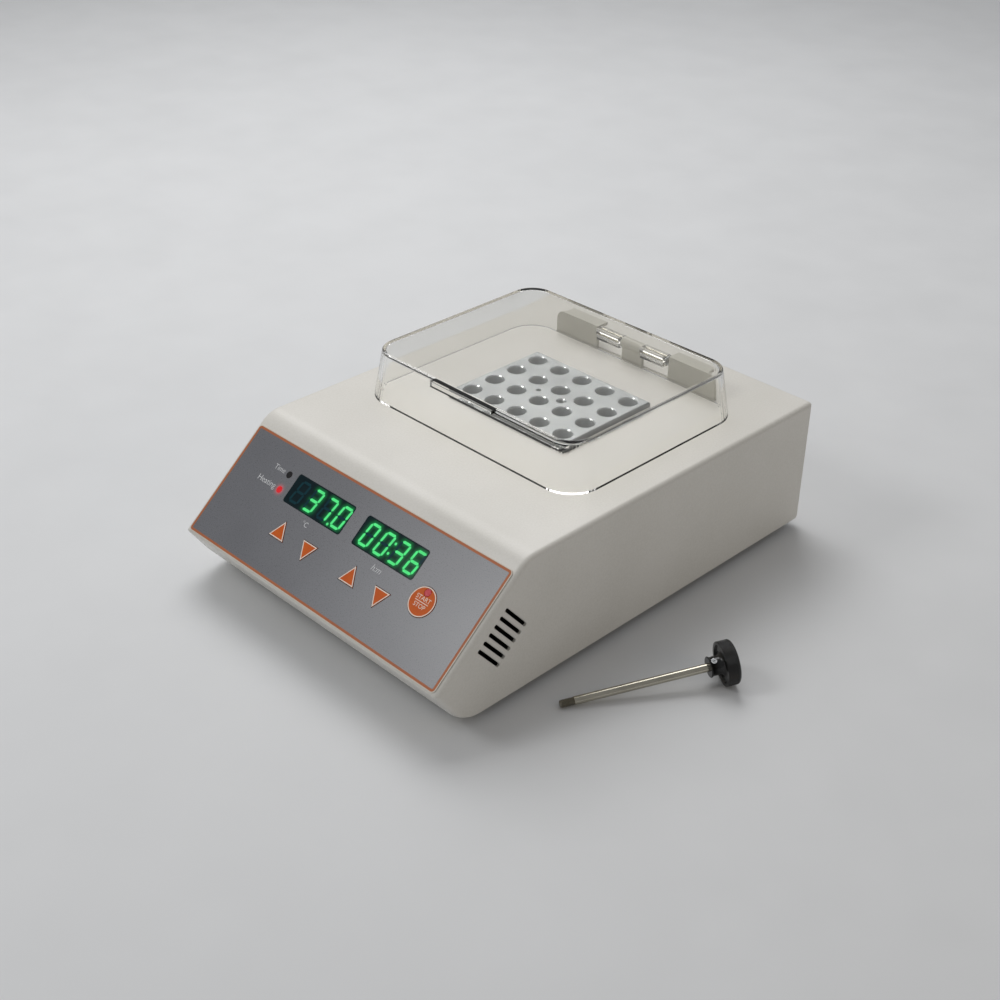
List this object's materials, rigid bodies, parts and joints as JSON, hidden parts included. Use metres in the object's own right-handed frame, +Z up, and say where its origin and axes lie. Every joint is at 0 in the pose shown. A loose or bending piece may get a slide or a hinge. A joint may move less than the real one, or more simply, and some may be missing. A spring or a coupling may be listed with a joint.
{
  "type": "dry block heater",
  "caption": "Bench-top dry block heater with a sloped keypad, a drilled aluminium tube block under a hinged clear lid, and a threaded block lifter.",
  "frame": {"origin": "on the bench, below the middle of the housing", "axes": "+X to the operator's right, +Y to the rear, +Z up"},
  "size_m": [0.3027, 0.3157, 0.12],
  "materials": {
    "powder_coat": "fine satin powder coat",
    "zinc_plate": "zinc plated",
    "stainless_steel": "drawn and polished",
    "foot_rubber": "moulded",
    "silicone": "moulded",
    "overlay_film": "screen printed film with an orange border",
    "display_lens": "smoked acrylic",
    "display_body": "moulded",
    "circuit_board": "solder mask",
    "key_orange": "moulded, with a pale rim",
    "led_dark": "moulded",
    "led_red": "moulded, lit",
    "aluminium_cast": "machined",
    "aluminium_block": "bead blasted and anodised, bright countersinks",
    "glass_wool": "pressed mineral fibre",
    "transformer_steel": "varnished laminations",
    "terminal_green": "moulded",
    "black_nylon": "moulded",
    "brass_pin": "nickel flashed",
    "fuse_tube": "drawn tube",
    "clear_polycarbonate": "moulded, slight smoke tint",
    "black_phenolic": "moulded, knurled rim"
  },
  "bodies": {
    "housing": {"housing_cover": "powder_coat", "rear_panel": "powder_coat", "hinge_bracket": "powder_coat", "base_plate": "zinc_plate", "foot_screws": "zinc_plate", "cover_screws": "zinc_plate", "rear_screws": "zinc_plate", "board_spacers": "zinc_plate", "board_screws": "zinc_plate", "well_standoffs": "zinc_plate", "well_screws": "zinc_plate", "power_board_spacers": "zinc_plate", "power_board_screws": "zinc_plate", "inlet_screws": "zinc_plate", "hinge_nuts": "zinc_plate", "hinge_clips": "zinc_plate", "hinge_pin": "stainless_steel", "temperature_probe": "stainless_steel", "rubber_feet": "foot_rubber", "well_gasket": "silicone", "heater_pad": "silicone", "keypad_overlay": "overlay_film", "display_window_temp": "display_lens", "display_window_time": "display_lens", "display_module_temp": "display_body", "display_module_time": "display_body", "tact_switches": "display_body", "thermal_cutout": "display_body", "control_board": "circuit_board", "power_board": "circuit_board", "led_time": "led_dark", "led_heating": "led_red", "led_run": "led_red", "heated_well": "aluminium_cast", "triac_heatsink": "aluminium_cast", "insulation_jacket": "glass_wool", "transformer": "transformer_steel", "terminal_block": "terminal_green", "power_inlet": "black_nylon", "switch_frame": "black_nylon", "inlet_pins": "brass_pin"},
    "lid": {"lid": "clear_polycarbonate"},
    "block": {"heat_block": "aluminium_block"},
    "lifter": {"lifter_rod": "stainless_steel", "lifter_knob": "black_phenolic", "lifter_set_screw": "stainless_steel"},
    "temp_up": {"key_temp_up": "key_orange"},
    "temp_down": {"key_temp_down": "key_orange"},
    "time_up": {"key_time_up": "key_orange"},
    "time_down": {"key_time_down": "key_orange"},
    "start_stop": {"key_start_stop": "key_orange"},
    "rocker": {"power_rocker": "black_nylon"},
    "drawer": {"fuse_drawer": "black_nylon", "fuse_glass": "fuse_tube", "fuse_caps": "zinc_plate"}
  },
  "joints": [
    {"name": "lid_hinge", "type": "hinge", "parent": "housing", "child": "lid", "pos_m": [0, 0.117, 0.1005], "axis": [-1, 0, 0], "range_deg": [0, 105]},
    {"name": "block_lift", "type": "slide", "parent": "housing", "child": "block", "axis": [0, 0, 1], "range_m": [0, 0.022]},
    {"name": "lifter_lift", "type": "slide", "parent": "housing", "child": "lifter", "axis": [0, 0, 1], "range_m": [0, 0.15]},
    {"name": "temp_up_press", "type": "slide", "parent": "housing", "child": "temp_up", "axis": [0, 0.6494, -0.7604], "range_m": [0, 0.0003], "stiffness_N_per_m": 800, "springref_m": -0.0003},
    {"name": "temp_down_press", "type": "slide", "parent": "housing", "child": "temp_down", "axis": [0, 0.6494, -0.7604], "range_m": [0, 0.0003], "stiffness_N_per_m": 800, "springref_m": -0.0003},
    {"name": "time_up_press", "type": "slide", "parent": "housing", "child": "time_up", "axis": [0, 0.6494, -0.7604], "range_m": [0, 0.0003], "stiffness_N_per_m": 800, "springref_m": -0.0003},
    {"name": "time_down_press", "type": "slide", "parent": "housing", "child": "time_down", "axis": [0, 0.6494, -0.7604], "range_m": [0, 0.0003], "stiffness_N_per_m": 800, "springref_m": -0.0003},
    {"name": "start_stop_press", "type": "slide", "parent": "housing", "child": "start_stop", "axis": [0, 0.6494, -0.7604], "range_m": [0, 0.0003], "stiffness_N_per_m": 800, "springref_m": -0.0003},
    {"name": "power_rocker_tip", "type": "hinge", "parent": "housing", "child": "rocker", "pos_m": [0, 0.1544, 0.042], "axis": [0, 0, 1], "range_deg": [0, 16]},
    {"name": "fuse_drawer_slide", "type": "slide", "parent": "housing", "child": "drawer", "axis": [0, 1, 0], "range_m": [0, 0.012]}
  ]
}
